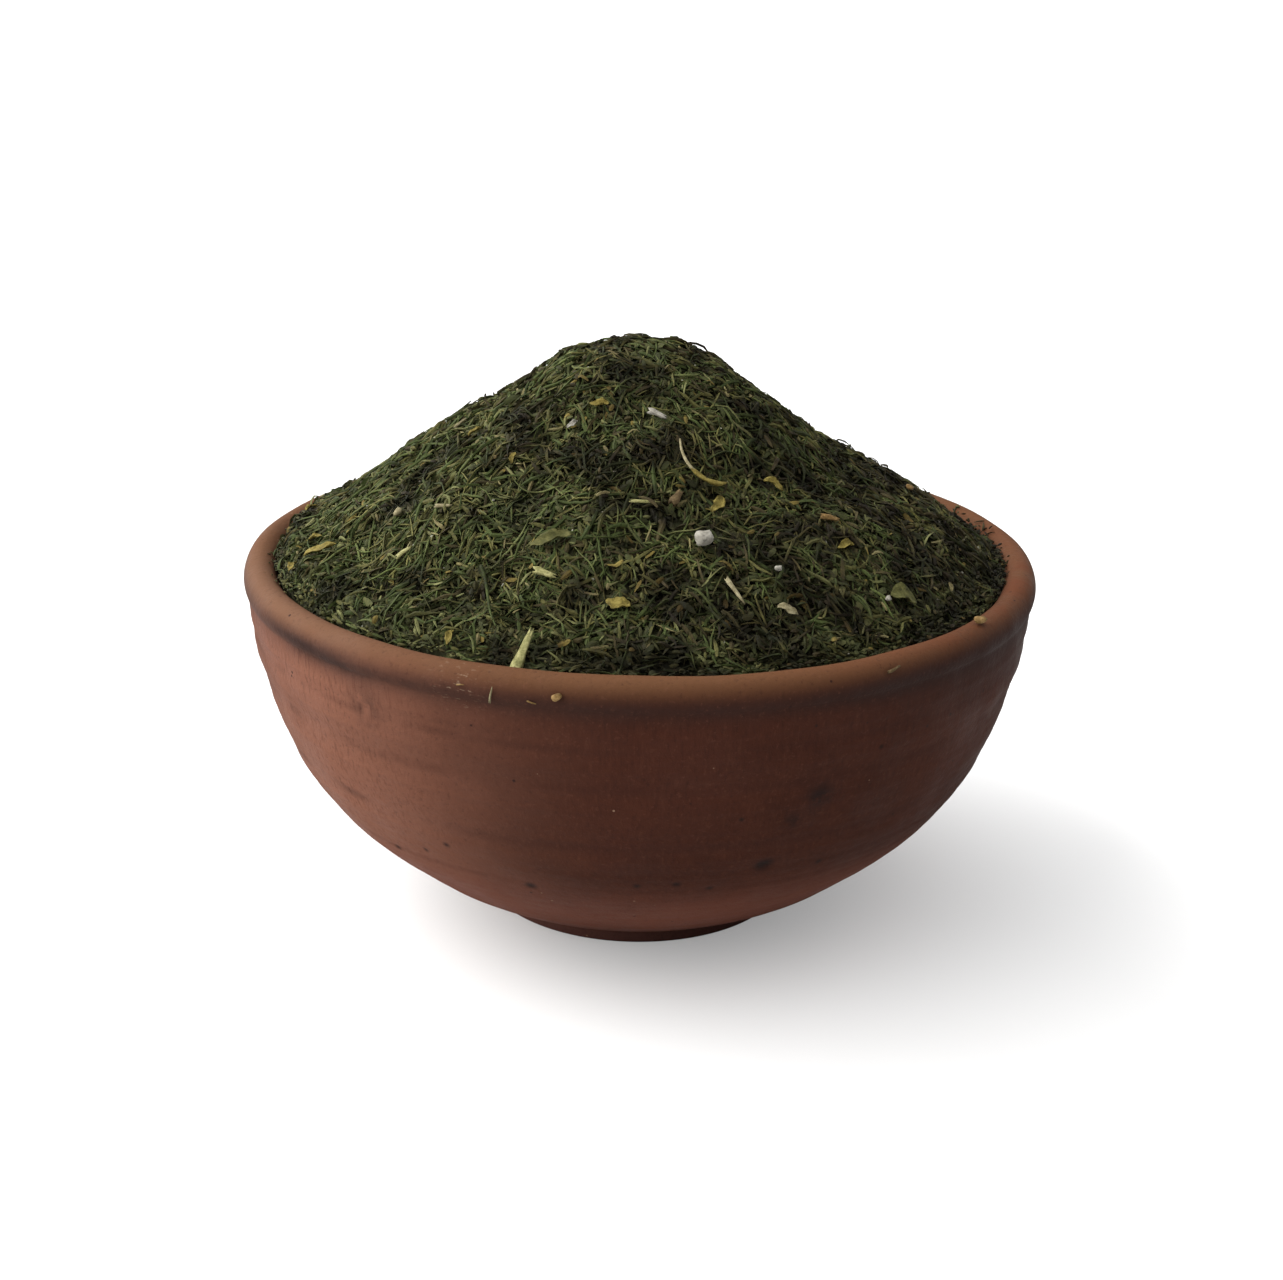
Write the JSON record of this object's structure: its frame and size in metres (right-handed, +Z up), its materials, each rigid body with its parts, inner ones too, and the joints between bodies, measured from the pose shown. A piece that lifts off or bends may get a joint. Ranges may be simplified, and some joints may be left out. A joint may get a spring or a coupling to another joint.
{
  "type": "bowl of dried dill",
  "caption": "Small unglazed clay bowl on a low foot, heaped to a rounded peak with dried chopped dill and a few pale scraps of stalk and leaf.",
  "frame": {"origin": "middle of the bowl's flat foot, on the surface that it stands on", "axes": "+Z up through the middle of the bowl, -Y towards the side that the picture shows, +X to the picture's right"},
  "size_m": [0.12, 0.12, 0.0881],
  "materials": {
    "terracotta": "matte",
    "dried_dill": "matte",
    "pale_green": "matte",
    "olive": "matte",
    "straw": "matte",
    "yellow": "matte",
    "tan": "matte",
    "brown": "matte",
    "white": "matte"
  },
  "bodies": {
    "root": {"clay_bowl": "terracotta", "dill_heap": "dried_dill", "curled_stalk": "straw", "stalk_chip": "pale_green", "straw_sliver": "straw", "white_clump": "white", "white_bit": "white", "white_speck": "white", "yellow_leaf": "yellow", "tan_chip": "tan", "brown_chip": "brown", "green_chip": "pale_green", "olive_leaf": "olive", "round_leaf": "olive", "pale_flake": "straw", "yellow_flake_front": "yellow", "yellow_flake_right": "yellow", "yellow_flake_middle": "yellow", "yellow_flake_left": "yellow", "yellow_flake_upper": "yellow", "lip_crumb": "tan"}
  },
  "joints": []
}
